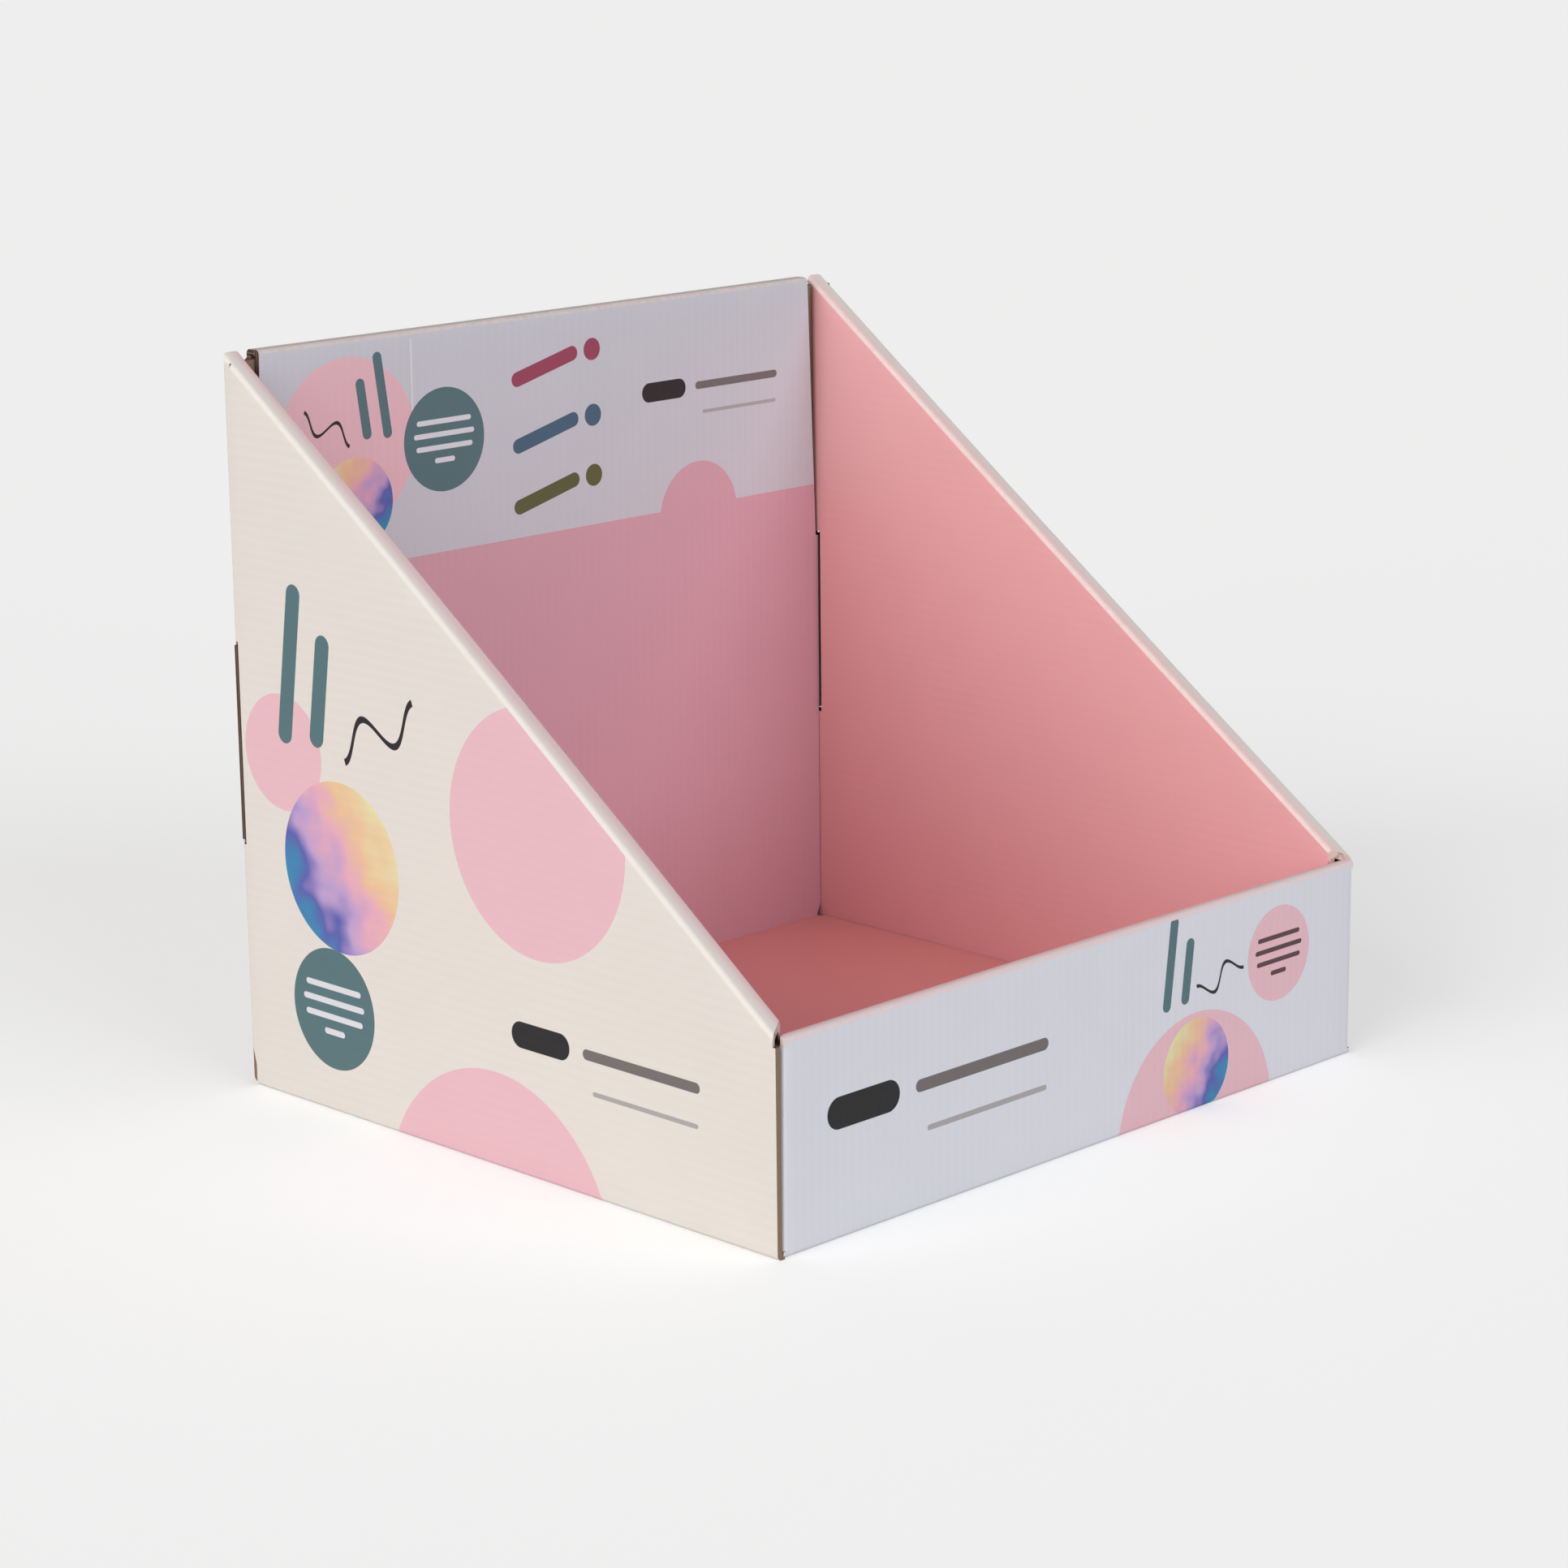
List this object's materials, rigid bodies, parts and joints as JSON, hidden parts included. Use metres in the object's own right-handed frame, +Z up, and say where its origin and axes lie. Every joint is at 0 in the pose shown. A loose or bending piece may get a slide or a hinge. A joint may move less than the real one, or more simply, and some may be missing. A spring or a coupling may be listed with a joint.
{
  "type": "cardboard display box",
  "caption": "Open counter display box folded from corrugated board, with a low front lip, sloping side walls and a tall printed back.",
  "frame": {"origin": "middle of the underside", "axes": "+X to the right seen from the front, +Y towards the tall back, +Z up; the low front lip faces -Y"},
  "size_m": [0.3, 0.272, 0.267],
  "materials": {
    "printed_board": "satin"
  },
  "bodies": {
    "root": {"folded_tray": "printed_board"}
  },
  "joints": []
}
